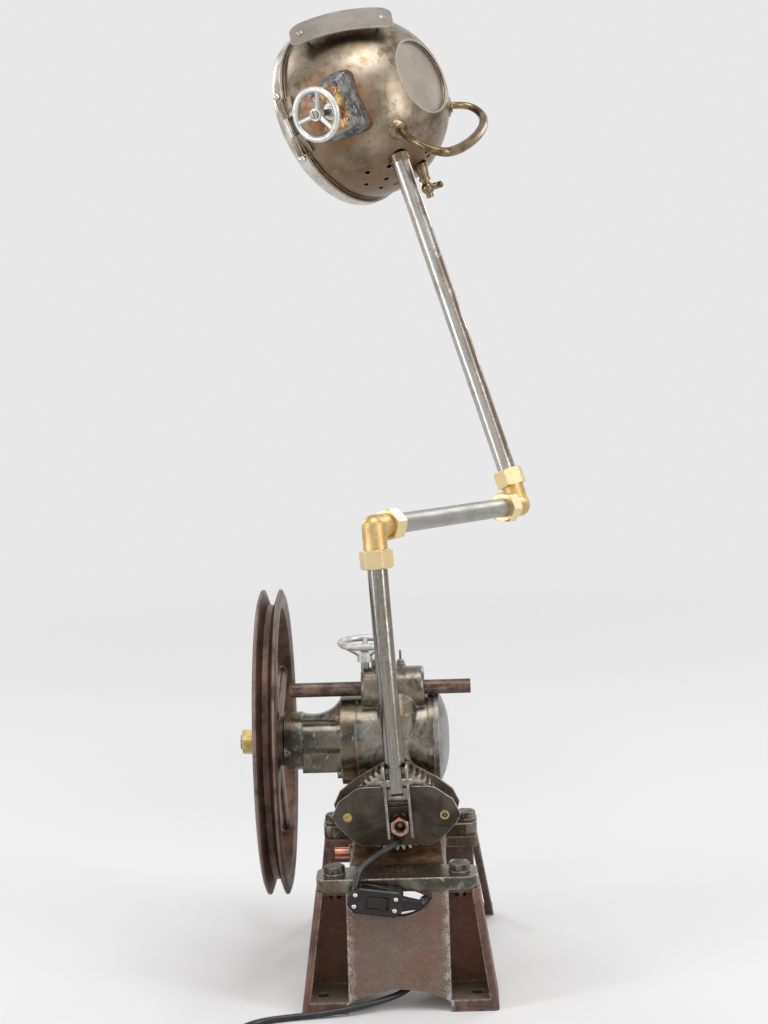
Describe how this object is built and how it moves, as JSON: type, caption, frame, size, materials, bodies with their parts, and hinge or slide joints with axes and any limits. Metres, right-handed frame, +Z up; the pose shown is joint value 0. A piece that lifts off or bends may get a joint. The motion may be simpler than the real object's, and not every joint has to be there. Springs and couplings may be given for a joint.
{
  "type": "industrial pipe table lamp",
  "caption": "Table lamp with a round metal head on jointed pipes, standing on a cast pump with a spoked belt pulley and a cast stand.",
  "frame": {"origin": "on the ground, in the middle of the four foot bolt holes of the stand", "axes": "+X right along the pump shaft, +Y away from the viewer, +Z up"},
  "size_m": [0.3454, 0.9521, 1.077],
  "materials": {
    "plated_bezel": "satin plating",
    "aged_brass": "tarnished",
    "copper": "polished copper",
    "patinated_shell": "worn plating",
    "ceramic": "glazed",
    "black_plastic": "matt",
    "pulley_iron": "rusted casting",
    "pump_iron": "oiled dark casting",
    "stand_iron": "rusted casting",
    "zinc_box": "stained casting",
    "brushed_steel_parts": "satin",
    "brass_parts": "satin",
    "glass_parts": "satin",
    "aluminium_parts": "satin",
    "rubber_parts": "satin",
    "gloss_plastic_parts": "satin"
  },
  "bodies": {
    "base": {"stand_casting": "stand_iron", "pump_housing": "pump_iron", "pump_bolts": "brushed_steel_parts", "bearing_housing": "pump_iron", "bearing_housing_screws": "brushed_steel_parts", "shaft_bushes": "brass_parts", "dome_cover": "brushed_steel_parts", "boss_fitting": "brass_parts", "oiler": "brushed_steel_parts", "drain_stub": "copper", "gear_back_plate": "brushed_steel_parts", "front_plate": "brushed_steel_parts", "plate_ties": "brass_parts", "mast_clevis": "brushed_steel_parts", "hollow_lock_nut": "copper", "pivot_pin": "brushed_steel_parts", "cord_bush": "rubber_parts", "cord_upper": "rubber_parts", "switch_body": "gloss_plastic_parts", "cord_lower": "rubber_parts", "cord_coil": "rubber_parts", "plug": "black_plastic"},
    "pulley_set": {"pump_shaft": "brushed_steel_parts", "pulley": "pulley_iron", "pulley_fasteners": "brass_parts"},
    "gear_set": {"drive_gear": "brushed_steel_parts", "gear_shaft": "brushed_steel_parts"},
    "rod": {"cross_rod": "brushed_steel_parts"},
    "clamp": {"clamp_spindle": "brushed_steel_parts", "clamp_handwheel": "aluminium_parts"},
    "mast": {"mast_foot": "brass_parts", "pivot_washers": "brass_parts", "mast_tube": "brushed_steel_parts"},
    "arm": {"lower_elbow": "brass_parts", "lower_elbow_nuts": "brass_parts", "middle_tube": "brushed_steel_parts"},
    "swing_elbow": {"upper_elbow": "brass_parts", "upper_elbow_nuts": "brass_parts"},
    "head": {"upper_tube": "brushed_steel_parts", "tube_collar": "brass_parts", "globe_shell": "patinated_shell", "lamp_holder": "ceramic", "bulb": "glass_parts", "hinge_shell_leaf": "brushed_steel_parts", "hinge_pin": "brushed_steel_parts", "switch_box": "zinc_box", "box_screws": "brass_parts", "spindle_gland": "brushed_steel_parts", "top_strip": "brushed_steel_parts", "strip_rivets": "brushed_steel_parts", "bow_handle": "aged_brass", "tap_body": "aged_brass"},
    "bezel": {"bezel_ring": "plated_bezel", "lens_clip_ring": "brushed_steel_parts", "lens_glass": "glass_parts", "hinge_bezel_leaf": "brushed_steel_parts"},
    "head_wheel": {"head_spindle": "brushed_steel_parts", "head_handwheel": "aluminium_parts"},
    "tap": {"tap_handle": "aged_brass"},
    "rocker": {"switch_rocker": "gloss_plastic_parts"}
  },
  "joints": [
    {"name": "mast_tilt", "type": "hinge", "parent": "base", "child": "mast", "pos_m": [0.0016, -0.088, 0.2298], "axis": [0.9984, 0, 0.0569], "range_deg": [-10, 30]},
    {"name": "arm_swivel", "type": "hinge", "parent": "mast", "child": "arm", "pos_m": [-0.01403, -0.05586, 0.50418], "axis": [-0.0565, 0.1162, 0.9916], "range_deg": [-150, 150]},
    {"name": "elbow_swivel", "type": "hinge", "parent": "arm", "child": "swing_elbow", "pos_m": [0.15075, 0.2538, 0.4773], "axis": [0.4684, 0.8802, -0.0764], "range_deg": [-60, 60]},
    {"name": "head_swivel", "type": "hinge", "parent": "swing_elbow", "child": "head", "pos_m": [0.15075, 0.2538, 0.4773], "axis": [-0.293, 0.2363, 0.9265], "range_deg": [-150, 150]},
    {"name": "bezel_hinge", "type": "hinge", "parent": "head", "child": "bezel", "pos_m": [-0.11297, 0.35075, 0.93422], "axis": [-0.3525, 0.0891, 0.9316], "range_deg": [0, 100]},
    {"name": "head_wheel_turn", "type": "hinge", "parent": "head", "child": "head_wheel", "pos_m": [-0.07705, 0.29815, 0.94855], "axis": [-0.5197, -0.8465, -0.1157], "range_deg": [-135, 135]},
    {"name": "tap_turn", "type": "hinge", "parent": "head", "child": "tap", "pos_m": [0.05239, 0.39847, 0.85559], "axis": [0.9631, 0.0284, 0.2676], "range_deg": [0, 90]},
    {"name": "clamp_turn", "type": "hinge", "parent": "base", "child": "clamp", "pos_m": [-0.031, 0.004, 0.366], "axis": [0, 0, 1], "range_deg": [-360, 60]},
    {"name": "rod_slide", "type": "slide", "parent": "base", "child": "rod", "axis": [1, 0, 0], "range_m": [-0.01, 0.04]},
    {"name": "pulley_turn", "type": "hinge", "parent": "base", "child": "pulley_set", "pos_m": [-0.134, 0.016, 0.254], "axis": [1, 0, 0], "continuous": true},
    {"name": "gear_turn", "type": "hinge", "parent": "base", "child": "gear_set", "pos_m": [0, -0.057, 0.196], "axis": [0, 1, 0], "continuous": true},
    {"name": "rocker_press", "type": "hinge", "parent": "base", "child": "rocker", "pos_m": [-0.02102, -0.164, 0.12172], "axis": [0.1392, 0, 0.9903], "range_deg": [0, 11]}
  ]
}
